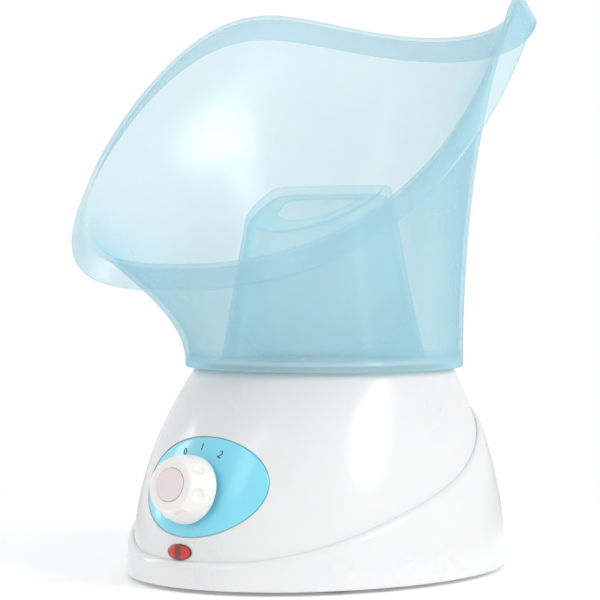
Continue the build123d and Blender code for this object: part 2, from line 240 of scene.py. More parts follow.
def fit(piece, finish, body, slot, *nodes):
    """Gives a piece its material and the body it rides on, and hides the nodes it stands for; its finish
    slot is not used.
    """
    piece.data.materials.clear()
    piece.data.materials.append(finish)
    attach(piece, body)
    if nodes:
        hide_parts(*nodes)
    return piece


def front_y(x, z, off=0.0):
    """Y of the housing's front face at a given width and height."""
    half_w, front, _ = reach(z, off)
    return -front * sqrt(max(1 - (x / half_w) ** 2, 0))


def oval_pad(name, half_w, half_h, mid_z, lift_in, lift_out, edge=0.0, count=96, rows=16):
    """Oval plate that follows the housing's front, between two lifts off its face."""
    def loop(share, lift):
        return [(half_w * share * sin(a),
                 front_y(half_w * share * sin(a), mid_z + half_h * share * cos(a), lift),
                 mid_z + half_h * share * cos(a)) for a in around(count)]
    rim = 1 - edge / half_h
    shares = [0.02 + (rim - 0.02) * i / rows for i in range(rows + 1)]
    front = [loop(s, lift_out) for s in shares]
    front += [loop(rim + (1 - rim) * sin(t), lift_out - edge * (1 - cos(t))) for t in (0.5, 1.0, pi / 2)]
    return skin(name, front + [loop(s, lift_in) for s in reversed([*shares, 1.0])])


def oval_prism(name, x, z, width, height, y0, y1, count=64):
    """Oval drawn in X and Z, run from y0 to y1."""
    return skin(name, [[(x + sin(a) * width / 2, y, z + cos(a) * height / 2) for a in around(count)]
                       for y in (y0, y1)])


neck = SEAM_Z - 1.6
levels = [FOOT_H + PLATE_T + (neck - FOOT_H - PLATE_T) * i / 40 for i in range(41)]
rings = [egg_ring(z) for z in levels]
rings += [[((NECK_R - d) * sin(a), -(NECK_R - d) * cos(a), z) for a in around()]
          for d, z in ((0.12, SEAM_Z - 0.8), (0.45, SEAM_Z - 0.3), (1.1, SEAM_Z))]
rings += [round_ring(r, z) for r, z in (
    (COLLAR_R + 0.8, SEAM_Z), (COLLAR_R + 0.2, SEAM_Z + 0.2), (COLLAR_R, SEAM_Z + 0.8),
    (COLLAR_R, SEAM_Z + COLLAR_H - 0.5), (COLLAR_R - 0.3, SEAM_Z + COLLAR_H),
    (COLLAR_R - COLLAR_T + 0.3, SEAM_Z + COLLAR_H), (COLLAR_R - COLLAR_T, SEAM_Z + COLLAR_H - 0.5),
    (COLLAR_R - COLLAR_T, SEAM_Z), (DECK_HOLE_R + 0.4, SEAM_Z), (DECK_HOLE_R, SEAM_Z - 0.4),
    (DECK_HOLE_R, SEAM_Z - WALL), (NECK_R - WALL - 1, SEAM_Z - WALL))]
rings += [egg_ring(z, -WALL) for z in reversed([z for z in levels if z < SEAM_Z - WALL])]
housing = skin("base_housing", rings, tube=True)

cut(housing, [
    oval_pad("pocket", DIAL_HALF_W + DIAL_GAP, DIAL_HALF_H + DIAL_GAP, DIAL_Z, -DIAL_T, 2.0),
    oval_prism("lamp_hole", LAMP_X, LAMP_Z, LAMP_W - 1.2, LAMP_H - 1.2, -125, -95),
    oval_prism("gland_hole", 0, GLAND_Z, 12.2, 12.2, 85, 115),
])

# The white is a warm neutral ABS.  The eye sees a clean gloss that is a little soft, because the
# steel mould was only fine polished: a faint orange peel about 2 mm across and slow 30 mm drifts
# in the gloss where the plastic shrank.
PEEL_MM, DRIFT_MM = 2.0, 30.0


def moulded_abs(name, code, shade, gloss=0.24, peel=0.02, coat=0.25):
    made, tree = blank_material(name)
    where = put(tree, "TexCoord").outputs["Object"]
    drift = put(tree, "TexNoise", {"Vector": where}, Scale=1 / (DRIFT_MM * MM), Detail=3.0)
    fine = put(tree, "TexNoise", {"Vector": where}, Scale=1 / (PEEL_MM * MM), Detail=2.0, Roughness=0.4)
    hue = put(tree, "Mix", {"Factor": drift.outputs["Fac"]}, data_type="RGBA")
    hue.inputs[6].default_value, hue.inputs[7].default_value = linear(code), linear(shade)
    polish = put(tree, "MapRange", {"Value": drift.outputs["Fac"]}, From_Min=0.3, From_Max=0.7,
                 To_Min=gloss - 0.04, To_Max=gloss + 0.05)
    skin_bump = put(tree, "Bump", {"Height": fine.outputs["Fac"]}, Strength=peel, Distance=0.0006)
    shell = put(tree, "BsdfPrincipled", {"Base Color": hue.outputs[2], "Roughness": polish.outputs[0],
                                         "Normal": skin_bump.outputs[0]},
                IOR=1.53, Coat_Weight=coat, Coat_Roughness=0.12, Subsurface_Weight=0.08,
                Subsurface_Scale=0.004)
    put(tree, "OutputMaterial", {"Surface": shell.outputs[0]})
    return made


white_abs = moulded_abs("moulded_white_abs", "#e3e3e3", "#dededf")
fit(housing, white_abs, "base", "white_abs", "upper_housing")


# ==== The outer band ========================================================
# A second white ABS moulding, clipped over the foot of the housing.  Its top edge is a rounded
# ridge that runs low across the front and sweeps up both sides to the back.
BAND_GAP, BAND_T, RIDGE_DROP = 0.1, 2.4, 3.4
SWEEP = [(-122, 14.2), (-105, 15.4), (-90, 19.2), (-75, 23.8), (-60, 29.0), (-42, 35.3), (-20, 42.7),
         (0, 50.3), (20, 59.8), (40, 71.0), (60, 81.5), (80, 88.3), (110, 91.0)]


def along(knots, at):
    """Smooth curve through knots: a cubic between each two, with the slope of their neighbours."""
    slopes = [(b[1] - a[1]) / (b[0] - a[0]) for a, b in zip(knots, knots[1:])]
    slopes = [slopes[0]] + [(a + b) / 2 for a, b in zip(slopes, slopes[1:])] + [slopes[-1]]
    for k, ((x0, y0), (x1, y1)) in enumerate(zip(knots, knots[1:])):
        if at <= x1 or k == len(knots) - 2:
            t, wide = (at - x0) / (x1 - x0), x1 - x0
            return (y0 * (1 + 2 * t) * (1 - t) ** 2 + slopes[k] * wide * t * (1 - t) ** 2
                    + y1 * t * t * (3 - 2 * t) + slopes[k + 1] * wide * t * t * (t - 1))


def band_point(a, share, off, drop=0.0):
    """Point of the band at angle a; share runs from its foot to its top edge, less drop."""
    y = -(FRONT_R if cos(a) > 0 else BACK_R) * cos(a)
    for _ in range(3):
        top = along(SWEEP, y)
        half_w, front, back = reach(top, off)
        y = -(front if cos(a) > 0 else back) * cos(a)
    z = FOOT_H + (top - drop - FOOT_H) * share
    half_w, front, back = reach(z, off)
    return half_w * sin(a), -(front if cos(a) > 0 else back) * cos(a), z


out = BAND_GAP + BAND_T
angles = around(216)
rows = [(0.0, BAND_GAP, 0.0), (0.0, out - 0.9, 0.0), (0.012, out - 0.3, 0.0), (0.04, out, 0.0)]
rows += [(0.04 + 0.96 * i / 24, out, RIDGE_DROP) for i in range(1, 25)]
for t in (0.2, 0.4, 0.6, 0.8, 1.0, 1.2, 1.4, pi / 2):
    rows.append((1.0, BAND_GAP + 0.25 + (out - BAND_GAP - 0.25) * cos(t), RIDGE_DROP * (1 - sin(t))))
rows += [(1.0, BAND_GAP, 0.0)] + [(1 - i / 12, BAND_GAP, 0.0) for i in range(1, 12)]
band = skin("base_outer_band", [[band_point(a, *row) for a in angles] for row in rows], tube=True,
            smooth=50)
cut(band, [oval_prism("gland_hole", 0, GLAND_Z, 12.2, 12.2, 85, 115)])
fit(band, white_abs, "base", "white_abs", "skirt_shell")


# ==== Underside: plate, feet and screws =====================================
# A flat ABS plate closes the base and carries the vents.  Four soft rubber feet are pushed into
# it, and four zinc-plated pan head screws with a cross recess hold it to bosses in the housing.
BOSSES = [(-66, -42), (66, -42), (-56, 56), (56, 56)]
FEET = [(-52, -62), (52, -62), (-48, 46), (48, 46)]
PLATE_TOP = FOOT_H + PLATE_T


def lathe(name, profile, x=0.0, y=0.0, count=64, smooth=35, tube=False):
    """Round piece from radius and height pairs, about an upright line."""
    return skin(name, [round_ring(r, z, count, x, y) for r, z in profile], tube, smooth)


def brick(x, y, z, wide, deep, high):
    """Closed block between corners, for cutting."""
    loops = [[(x + sx * wide / 2, y + sy * deep / 2, h) for sx, sy in ((-1, -1), (1, -1), (1, 1), (-1, 1))]
             for h in (z - high / 2, z + high / 2)]
    return skin("cutter", loops)


plate = skin("base_bottom_plate", [egg_ring(FOOT_H, -0.5, 96), egg_ring(FOOT_H + 0.1, -0.1, 96),
                                   egg_ring(FOOT_H + 0.5, 0.0, 96), egg_ring(PLATE_TOP, 0.0, 96)])
cut(plate, [lathe("cutter", [(3.4, 0), (3.4, FOOT_H + 1.6)], x, y) for x, y in BOSSES]
    + [lathe("cutter", [(1.7, 3), (1.7, 8)], x, y, 24) for x, y in BOSSES]
    + [lathe("cutter", [(3.0, 0), (3.0, 8)], x, y) for x, y in FEET]
    + [brick(x, -8, 3, 3, 34, 8) for x in range(-24, 25, 8)])
fit(plate, white_abs, "base", "white_abs", "bottom_plate")


def soft_rubber(name, code, shade):
    """Moulded rubber: dead matt, a little paler where it has rubbed, fine 0.5 mm grain."""
    made, tree = blank_material(name)
    where = put(tree, "TexCoord").outputs["Object"]
    grain = put(tree, "TexNoise", {"Vector": where}, Scale=1 / (0.5 * MM), Detail=3.0)
    rub = put(tree, "TexNoise", {"Vector": where}, Scale=1 / (6 * MM), Detail=2.0)
    hue = put(tree, "Mix", {"Factor": rub.outputs["Fac"]}, data_type="RGBA")
    hue.inputs[6].default_value, hue.inputs[7].default_value = linear(code), linear(shade)
    dents = put(tree, "Bump", {"Height": grain.outputs["Fac"]}, Strength=0.25, Distance=0.0002)
    body = put(tree, "BsdfPrincipled", {"Base Color": hue.outputs[2], "Normal": dents.outputs[0]},
               Roughness=0.82, IOR=1.52)
    put(tree, "OutputMaterial", {"Surface": body.outputs[0]})
    return made


def gather(name, parts):
    """Joins like pieces into one object."""
    made = bmesh.new()
    for part in parts:
        made.from_mesh(part.data)
        bpy.data.objects.remove(part)
    return as_piece(name, made)


grey_rubber = soft_rubber("moulded_grey_rubber", "#6a6c6e", "#7b7d80")
feet = [lathe("foot", [(6.8, 0.0), (7.6, 0.15), (8.0, 0.6), (8.0, FOOT_H - 0.3), (7.8, FOOT_H),
                       (2.95, FOOT_H),
                       (2.95, PLATE_TOP)], x, y) for x, y in FEET]
fit(gather("rubber_foot_set", feet), grey_rubber, "base", "grey_rubber", "rubber_feet")


def plated_metal(name, code, shade, rough=0.32, grain_mm=0.4):
    """Rolled and plated metal: a soft mirror with a fine uneven bloom."""
    made, tree = blank_material(name)
    where = put(tree, "TexCoord").outputs["Object"]
    bloom = put(tree, "TexNoise", {"Vector": where}, Scale=1 / (grain_mm * MM), Detail=4.0)
    tone = put(tree, "TexNoise", {"Vector": where}, Scale=1 / (5 * MM), Detail=2.0)
    hue = put(tree, "Mix", {"Factor": tone.outputs["Fac"]}, data_type="RGBA")
    hue.inputs[6].default_value, hue.inputs[7].default_value = linear(code), linear(shade)
    dull = put(tree, "MapRange", {"Value": bloom.outputs["Fac"]}, To_Min=rough - 0.1, To_Max=rough + 0.12)
    body = put(tree, "BsdfPrincipled", {"Base Color": hue.outputs[2], "Roughness": dull.outputs[0]},
               Metallic=1.0)
    put(tree, "OutputMaterial", {"Surface": body.outputs[0]})
    return made


zinc_plate = plated_metal("zinc_plated_steel", "#c9cccf", "#b4b8bd")


def pan_screw(x, y, face, up, head_r, head_h, shank_r, shank_h):
    """Pan head screw; up is 1 when its head looks up and -1 when it looks down."""
    profile = [(head_r * s, face + up * head_h * h) for s, h in
               ((0.02, 1.0), (0.5, 0.98), (0.8, 0.85), (0.95, 0.6), (1.0, 0.35), (1.0, 0.0))]
    screw = lathe("screw", profile + [(shank_r, face), (shank_r, face - up * shank_h * 0.9),
                                      (shank_r * 0.3, face - up * shank_h)], x, y, 32)
    top = face + up * head_h
    cut(screw, [brick(x, y, top, head_r * 1.1, head_r * 0.26, head_h * 0.9),
                brick(x, y, top, head_r * 0.26, head_r * 1.1, head_h * 0.9)])
    return screw


screws = [pan_screw(x, y, FOOT_H + 1.6, -1, 3.0, 1.5, 1.5, 20) for x, y in BOSSES]
fit(gather("base_screw_set", screws), zinc_plate, "base", "zinc_steel", "housing_screws")


# ==== Water cup =============================================================
# A shallow cup pressed from aluminium sheet, with a rolled flange held to the deck by three
# screws through a clear silicone gasket.  The steel ring under the deck is the CAD's own.
CUP_R, CUP_FLOOR_Z, CUP_WALL, CUP_FLANGE_R, SCREW_PCD_R = 35.0, 76.0, 1.5, 47.5, 43.0
flange_z = SEAM_Z + 1.0
cup = lathe("water_cup_pressing", [
    (CUP_FLANGE_R, flange_z + 0.3), (CUP_FLANGE_R, flange_z + 0.9), (CUP_FLANGE_R - 0.4, flange_z + 1.2),
    (CUP_R + 1.8, flange_z + 1.2), (CUP_R + 0.7, flange_z + 0.9), (CUP_R, flange_z),
    (CUP_R - 1.7, CUP_FLOOR_Z + 7), (CUP_R - 2.6, CUP_FLOOR_Z + 3.2), (CUP_R - 4.0, CUP_FLOOR_Z + 1.0),
    (CUP_R - 6.5, CUP_FLOOR_Z + 0.05), (CUP_R - 9, CUP_FLOOR_Z), (14, CUP_FLOOR_Z), (13, CUP_FLOOR_Z + 0.5),
    (12, CUP_FLOOR_Z + 0.6), (0.5, CUP_FLOOR_Z + 0.6), (0.5, CUP_FLOOR_Z - CUP_WALL),
    (CUP_R - 1.2, CUP_FLOOR_Z - CUP_WALL), (CUP_R + 1.2, flange_z - 0.2), (CUP_R + 1.4, flange_z),
    (CUP_FLANGE_R - 0.3, flange_z)], count=128, tube=True)


def spun_aluminium():
    """Pressed sheet with a turned bottom: fine rings 0.6 mm apart, satin, cool and bright."""
    made, tree = blank_material("pressed_satin_aluminium")
    where = put(tree, "TexCoord").outputs["Object"]
    shift = put(tree, "VectorMath", {0: where}, operation="SUBTRACT")
    shift.inputs[1].default_value = (0, AXIS_Y, 0)
    flat = put(tree, "VectorMath", {0: shift.outputs[0]}, operation="MULTIPLY")
    flat.inputs[1].default_value = (1, 1, 0)
    radius = put(tree, "VectorMath", {0: flat.outputs[0]}, operation="LENGTH")
    turns = put(tree, "Math", {0: radius.outputs["Value"]}, operation="MULTIPLY")
    turns.inputs[1].default_value = 2 * pi / (0.6 * MM)
    rings = put(tree, "Math", {0: turns.outputs[0]}, operation="SINE")
    stain = put(tree, "TexNoise", {"Vector": where}, Scale=1 / (12 * MM), Detail=4.0)
    hue = put(tree, "Mix", {"Factor": stain.outputs["Fac"]}, data_type="RGBA")
    hue.inputs[6].default_value, hue.inputs[7].default_value = linear("#d8dadc"), linear("#c2c5c9")
    dull = put(tree, "MapRange", {"Value": stain.outputs["Fac"]}, To_Min=0.22, To_Max=0.42)
    marks = put(tree, "Bump", {"Height": rings.outputs[0]}, Strength=0.12, Distance=0.0001)
    body = put(tree, "BsdfPrincipled", {"Base Color": hue.outputs[2], "Roughness": dull.outputs[0],
                                        "Normal": marks.outputs[0]}, Metallic=1.0)
    put(tree, "OutputMaterial", {"Surface": body.outputs[0]})
    return made


studs = [lathe("stud", [(3.2, 66.9), (3.2, CUP_FLOOR_Z - 1)], x) for x in (-27, 27)]
cut(cup, studs, join=True)
fit(cup, spun_aluminium(), "base", "spun_aluminium", "water_cup")
spots = [(SCREW_PCD_R * cos(radians(a)), SCREW_PCD_R * sin(radians(a))) for a in (30, 150, 270)]
screws = [pan_screw(x, y, SEAM_Z + 2.2, 1, 2.8, 1.6, 1.5, 7.4) for x, y in spots]
fit(gather("cup_screw_set", screws), zinc_plate, "base", "zinc_steel", "cup_screws")
gasket = lathe("cup_gasket_ring", [(38.6, SEAM_Z), (38.6, SEAM_Z + 1), (46.8, SEAM_Z + 1),
                                   (47.0, SEAM_Z + 0.8),
                                   (47.0, SEAM_Z + 0.2), (46.8, SEAM_Z)], count=96, tube=True)
clear_silicone = soft_rubber("moulded_milky_silicone", "#d9dddf", "#e6e9ea")
fit(gasket, clear_silicone, "base", "silicone", "cup_gasket")


# ==== Heater under the cup ==================================================
# A ceramic heater disc and a mica sheet are pressed to the cup's floor by a plated steel clamp
# with two screws.  The clamp also carries a phenolic thermostat and a thermal fuse.
def dress(finish, *names):
    """Gives a finish to nodes whose own shape is kept."""
    for name in names:
        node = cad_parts[name]
        node.data.materials.clear()
        node.data.materials.append(finish)


def dull_solid(name, code, shade, grain_mm, rough, bump=0.3, speck=0.5):
    """Plain moulded or fired solid: two tones in grains of a stated size, matt, faintly rough."""
    made, tree = blank_material(name)
    where = put(tree, "TexCoord").outputs["Object"]
    grain = put(tree, "TexNoise", {"Vector": where}, Scale=1 / (grain_mm * MM), Detail=4.0, Roughness=speck)
    tone = put(tree, "MapRange", {"Value": grain.outputs["Fac"]}, From_Min=0.35, From_Max=0.65)
    hue = put(tree, "Mix", {"Factor": tone.outputs[0]}, data_type="RGBA")
    hue.inputs[6].default_value, hue.inputs[7].default_value = linear(code), linear(shade)
    dents = put(tree, "Bump", {"Height": grain.outputs["Fac"]}, Strength=bump, Distance=0.0002)
    body = put(tree, "BsdfPrincipled", {"Base Color": hue.outputs[2], "Normal": dents.outputs[0]},
               Roughness=rough, IOR=1.5)
    put(tree, "OutputMaterial", {"Surface": body.outputs[0]})
    return made


dress(zinc_plate, "cup_clamp_ring", "heater_clamp", "heater_screws", "thermal_fuse")
dress(dull_solid("fired_heater_ceramic", "#8f8b84", "#7c7871", 0.5, 0.7), "ptc_heater")
dress(dull_solid("pressed_mica", "#a8966f", "#8d7b57", 2.5, 0.4, 0.15), "mica_sheet")
black_phenolic = dull_solid("moulded_black_phenolic", "#18181a", "#222224", 0.8, 0.45)
dress(black_phenolic, "thermostat")


# ==== Dial plate and its numbers ============================================
# A thin light blue ABS plate, gloss moulded, set flush in the pocket with a hairline gap all
# round.  The three switch positions are printed on it in dark ink.
PLATE_EDGE = 0.45
dial = oval_pad("dial_plate", DIAL_HALF_W, DIAL_HALF_H, DIAL_Z, 0.05 - DIAL_T, 0.0, PLATE_EDGE)
blue_abs = moulded_abs("moulded_light_blue_abs", "#76d3ea", "#84daee", gloss=0.32, coat=0.7)
fit(dial, blue_abs, "base", "cyan_abs", "escutcheon")

NUMBERS = [("0", -12.0, 64.6, -27), ("1", -1.8, 67.4, -2), ("2", 10.0, 64.4, 27)]
NUMBER_H, INK_T = 3.3, 0.1
printed_ink = dull_solid("printed_dark_ink", "#24303a", "#2b3843", 0.6, 0.5, 0.05)
for digit, mid_x, mid_z, lean in NUMBERS:
    letter = bpy.data.curves.new("letter", "FONT")
    letter.body, letter.size, letter.align_x, letter.align_y = digit, NUMBER_H / 0.7, "CENTER", "CENTER"
    letter.extrude = 0.5
    letter.resolution_u = 8
    stand = bpy.data.objects.new("letter", letter)
    bpy.context.scene.collection.objects.link(stand)
    shape = bpy.data.meshes.new_from_object(stand.evaluated_get(bpy.context.evaluated_depsgraph_get()))
    bpy.data.objects.remove(stand)
    c, s = cos(radians(-lean)), sin(radians(-lean))
    for v in shape.vertices:
        x, z = mid_x + c * v.co.x - s * v.co.y, mid_z + s * v.co.x + c * v.co.y
        v.co = place(x, front_y(x, z, 0.01 + (INK_T if v.co.z > 0 else 0)), z)
    mark = bpy.data.objects.new("dial_number_" + digit, shape)
    bpy.context.scene.collection.objects.link(mark)
    fit(mark, printed_ink, "base", "cyan_abs")


# ==== Switch ================================================================
# A rotary switch in a phenolic case behind the panel, held by a plated hexagon nut on its neck.
# Its tabs are stamped brass.  The shaft and the rotor turn with the knob.
stamped_brass = plated_metal("stamped_brass", "#c9a860", "#b8974f", 0.3)
dress(black_phenolic, "switch_housing", "switch_rotor")
dress(zinc_plate, "switch_nut", "switch_shaft")
dress(stamped_brass, "switch_terminals")


# ==== Control knob ==========================================================
# A hollow warm white ABS knob, gloss moulded: a short straight rim, a tapered grip with seven
# round finger dimples and a rolled edge.  A satin pale pink cap is pressed into its face.
KNOB_R, KNOB_WAIST_R, KNOB_FACE_R, KNOB_FACE_H, KNOB_LIFT, CAP_R = 16.5, 15.2, 12.3, 16.9, 2.2, 7.9
DIMPLES, DIMPLE_R, DIMPLE_PCD_R, DIMPLE_H, DIMPLE_FROM, DIMPLE_SOFT = 7, 4.6, 17.2, 13.2, -13, 0.35


def on_shaft(radius, angle, height):
    """Point about the knob's tilted axis; the angle starts at +X and goes round anticlockwise."""
    tilt = radians(KNOB_TILT)
    u, v = radius * cos(angle), radius * sin(angle)
    return (u, -reach(KNOB_Z)[1] + v * sin(tilt) - height * cos(tilt),
            KNOB_Z + v * cos(tilt) + height * sin(tilt))


def dimpled(radius, angle, height):
    """Radius of the grip once the nearest finger dimple is scooped out of it."""
    step = 2 * pi / DIMPLES
    off = (angle - radians(DIMPLE_FROM) + step / 2) % step - step / 2
    room = DIMPLE_R ** 2 - (DIMPLE_PCD_R * sin(off)) ** 2 - (height - DIMPLE_H) ** 2
    if room <= 0:
        return radius
    scooped = DIMPLE_PCD_R * cos(off) - sqrt(room)
    gap = radius - scooped
    if gap <= -1:
        return radius
    return radius - 0.5 * (gap + sqrt(gap * gap + DIMPLE_SOFT ** 2)) + 0.5 * DIMPLE_SOFT


def knob_rings(profile, count=210, scoop=False):
    turns = [2 * pi * i / count for i in range(count)]
    return [[on_shaft(dimpled(r, a, h) if scoop else r, a, h) for a in turns] for r, h in profile]


grip = [(KNOB_R - 0.35, KNOB_LIFT), (KNOB_R, KNOB_LIFT + 0.35), (KNOB_R, KNOB_LIFT + 2.6)]
grip += [(KNOB_R - (KNOB_R - KNOB_WAIST_R) * (i / 16) ** 1.15, KNOB_LIFT + 2.6 + 6.4 * i / 16)
         for i in range(1, 17)]
shoulder = [(KNOB_WAIST_R - 1.5 * (i / 14) ** 1.2, 11.2 + 3.6 * i / 14) for i in range(1, 15)]
roll = [(KNOB_FACE_R - 1.3 + 2.45 * cos(t), KNOB_FACE_H - 2.1 + 2.1 * sin(t))
        for t in (0.15, 0.35, 0.55, 0.75, 0.95, 1.15, 1.35, pi / 2)]
face = [(9.9, KNOB_FACE_H), (8.8, KNOB_FACE_H - 0.04), (8.35, KNOB_FACE_H - 0.12), (8.1, KNOB_FACE_H - 0.4),
        (CAP_R + 0.1, KNOB_FACE_H - 0.8), (0.4, KNOB_FACE_H - 0.8)]
hollow = [(0.4, 14.5), (11.3, 14.5), (11.5, 14.2), (11.5, 6.4), (13.7, 6.2), (13.9, 5.9),
          (13.9, KNOB_LIFT + 0.2), (14.1, KNOB_LIFT)]
knob = skin("control_knob_body", knob_rings(grip + shoulder + roll, scoop=True) + knob_rings(face + hollow),
            tube=True, smooth=40)
cut(knob, [skin("hub", knob_rings([(5.4, 4.0), (5.4, 15.2)], 64))], join=True)
cut(knob, [skin("shaft_hole", knob_rings([(3.02, 0), (3.02, 14.0)], 64))])
ivory_abs = moulded_abs("moulded_warm_white_abs", "#f0eeeb", "#ebe8e5", gloss=0.27)
fit(knob, ivory_abs, "knob", "ivory_abs", "control_knob")

cap = skin("knob_face_cap", knob_rings([
    (0.4, KNOB_FACE_H - 0.78), (CAP_R, KNOB_FACE_H - 0.78), (CAP_R, KNOB_FACE_H + 0.05),
    (CAP_R - 0.1, KNOB_FACE_H + 0.14), (CAP_R - 0.4, KNOB_FACE_H + 0.2), (5, KNOB_FACE_H + 0.27),
    (0.4, KNOB_FACE_H + 0.29)], 96))
pink_abs = moulded_abs("satin_pale_pink_abs", "#ebdde0", "#e6d8dc", gloss=0.5, coat=0.0)
fit(cap, pink_abs, "knob", "pink_cap", "knob_cap")


# ==== Indicator lamp ========================================================
# A snap-in neon lamp: an oval lens of clear red polycarbonate, slightly domed, whose moulded
# rim is darker, with the glass lamp behind its middle.  A flat spring clip holds it.
LENS_HALF_W, LENS_HALF_H, LENS_DOME, LENS_LIP = 7.6, 3.8, 1.0, 0.45


def lens_loop(share, y_off, count=72):
    spots = [(LAMP_X + LENS_HALF_W * share * sin(a), LAMP_Z + LENS_HALF_H * share * cos(a))
             for a in around(count)]
    return [(x, front_y(x, z) - y_off, z) for x, z in spots]


dome = [lens_loop(s, LENS_LIP + LENS_DOME * sqrt(1 - s * s)) for s in
        (0.03, 0.15, 0.3, 0.45, 0.58, 0.7, 0.8, 0.87, 0.91)]
dome += [lens_loop(0.93, LENS_LIP + 0.30), lens_loop(0.955, LENS_LIP + 0.36),
         lens_loop(0.98, LENS_LIP + 0.22), lens_loop(1.0, 0.25), lens_loop(1.0, -0.02),
         lens_loop(0.9, -0.03), lens_loop(0.88, -9), lens_loop(0.7, -9),
         lens_loop(0.7, -0.6), lens_loop(0.03, -0.5)]
lens = skin("lamp_lens_oval", dome)


def red_lens():
    """Clear red polycarbonate.  Deep red where the rim is thick, a painted shade in an upright band over
    the lamp behind it, a wet gloss, and fine upright ribs 0.8 mm apart moulded inside to spread the light."""
    made, tree = blank_material("clear_red_polycarbonate")
    split = put(tree, "SeparateXYZ", {"Vector": put(tree, "TexCoord").outputs["Object"]})
    side = put(tree, "Math", {0: split.outputs["X"]}, operation="SUBTRACT")
    side.inputs[1].default_value = LAMP_X * MM
    across = put(tree, "Math", {0: side.outputs[0]}, operation="ABSOLUTE")
    # Painted shade: the lens colour darkens in an upright band over the lamp behind it.
    painted_lamp_shade = put(tree, "MapRange", {"Value": across.outputs[0]}, From_Min=1.3 * MM, From_Max=2.7 * MM,
               interpolation_type="SMOOTHSTEP")
    height = put(tree, "Math", {0: split.outputs["Z"]}, operation="SUBTRACT")
    height.inputs[1].default_value = LAMP_Z * MM
    u = put(tree, "Math", {0: side.outputs[0]}, operation="DIVIDE")
    u.inputs[1].default_value = LENS_HALF_W * MM
    v = put(tree, "Math", {0: height.outputs[0]}, operation="DIVIDE")
    v.inputs[1].default_value = LENS_HALF_H * MM
    spot = put(tree, "CombineXYZ", {"X": u.outputs[0], "Y": v.outputs[0]})
    out = put(tree, "VectorMath", {0: spot.outputs[0]}, operation="LENGTH")
    rim = put(tree, "MapRange", {"Value": out.outputs["Value"]}, From_Min=0.84, From_Max=0.97,
              interpolation_type="SMOOTHSTEP")
    ribs = put(tree, "Math", {0: split.outputs["X"]}, operation="MULTIPLY")
    ribs.inputs[1].default_value = 2 * pi / (0.8 * MM)
    wave = put(tree, "Math", {0: ribs.outputs[0]}, operation="SINE")
    faint = put(tree, "MapRange", {"Value": wave.outputs[0]}, From_Min=-1, To_Min=0.0, To_Max=0.18)
    hot = put(tree, "Mix", {"Factor": faint.outputs[0]}, data_type="RGBA")
    hot.inputs[6].default_value, hot.inputs[7].default_value = linear("#d3201f"), linear("#e64a40")
    shaded_middle = put(tree, "Mix", {"Factor": painted_lamp_shade.outputs[0], "B": hot.outputs[2]}, data_type="RGBA")
    shaded_middle.inputs[6].default_value = linear("#7c2a24")
    tree.links.new(hot.outputs[2], shaded_middle.inputs[7])
    edge = put(tree, "Mix", {"Factor": rim.outputs[0]}, data_type="RGBA")
    tree.links.new(shaded_middle.outputs[2], edge.inputs[6])
    edge.inputs[7].default_value = linear("#5a0d10")
    body = put(tree, "BsdfPrincipled", {"Base Color": edge.outputs[2]}, Roughness=0.08, IOR=1.58,
               Coat_Weight=0.6, Coat_Roughness=0.05)
    clear = put(tree, "BsdfTransparent", Color=linear("#ff3a34"))
    both = put(tree, "MixShader", {1: clear.outputs[0], 2: body.outputs[0]})
    both.inputs[0].default_value = 0.9
    put(tree, "OutputMaterial", {"Surface": both.outputs[0]})
    return made


fit(lens, red_lens(), "base", "red_lens", "lamp_lens")


def lamp_glass():
    """Clear glass tube with a faint orange from the gas and metal inside."""
    made, tree = blank_material("clear_lamp_glass")
    where = put(tree, "TexCoord").outputs["Object"]
    swirl = put(tree, "TexNoise", {"Vector": where}, Scale=1 / (1.5 * MM), Detail=2.0)
    hue = put(tree, "Mix", {"Factor": swirl.outputs["Fac"]}, data_type="RGBA")
    hue.inputs[6].default_value, hue.inputs[7].default_value = linear("#e8a06c"), linear("#f2c39c")
    body = put(tree, "BsdfPrincipled", {"Base Color": hue.outputs[2]}, Roughness=0.05, IOR=1.5)
    clear = put(tree, "BsdfTransparent", Color=linear("#fff2e8"))
    edge = put(tree, "LayerWeight", Blend=0.4)
    cover = put(tree, "MapRange", {"Value": edge.outputs["Facing"]}, To_Min=0.35, To_Max=0.95)
    both = put(tree, "MixShader", {0: cover.outputs[0], 1: clear.outputs[0], 2: body.outputs[0]})
    put(tree, "OutputMaterial", {"Surface": both.outputs[0]})
    return made


dress(lamp_glass(), "neon_lamp")
dress(zinc_plate, "lamp_clip")


# ==== Supply inlet and the wiring ===========================================
# A white ABS gland with a rounded flange sits low in the back.  Inside, a nylon block with
# brass screws joins the supply to PVC insulated leads, brown for live and blue for neutral.
GLAND_BORE = 3.3
back = reach(GLAND_Z)[2] + BAND_GAP + BAND_T


def turned_back(profile, count=72):
    """Rings about the inlet's level axis, from radius and distance out past the back face."""
    return [[(r * sin(a), back + out_by, GLAND_Z + r * cos(a)) for a in around(count)]
            for r, out_by in profile]


gland = skin("supply_inlet_gland", turned_back([
    (GLAND_BORE, 3.0 - 0.6), (GLAND_BORE + 0.15, 2.85), (GLAND_BORE + 0.6, 3.0), (5.6, 3.0), (6.6, 2.8),
    (7.5, 2.35), (8.2, 1.65), (8.55, 0.8), (8.6, 0.3), (8.6, -0.3), (6.0, -0.35), (6.0, -9),
    (7.2, -9), (7.2, -11.4),
    (6.8, -12), (GLAND_BORE + 0.4, -12), (GLAND_BORE, -11.6)]), tube=True)
fit(gland, white_abs, "base", "white_abs", "cord_gland")
dress(dull_solid("natural_nylon", "#dcdcd4", "#e4e4dd", 3.0, 0.55, 0.1), "terminal_block")
dress(stamped_brass, "terminal_screws")
dress(dull_solid("brown_pvc_insulation", "#4e2c18", "#5a3520", 1.5, 0.5, 0.1), "live_leads")
dress(dull_solid("blue_pvc_insulation", "#2450a8", "#2c5ab4", 1.5, 0.5, 0.1), "neutral_lead")


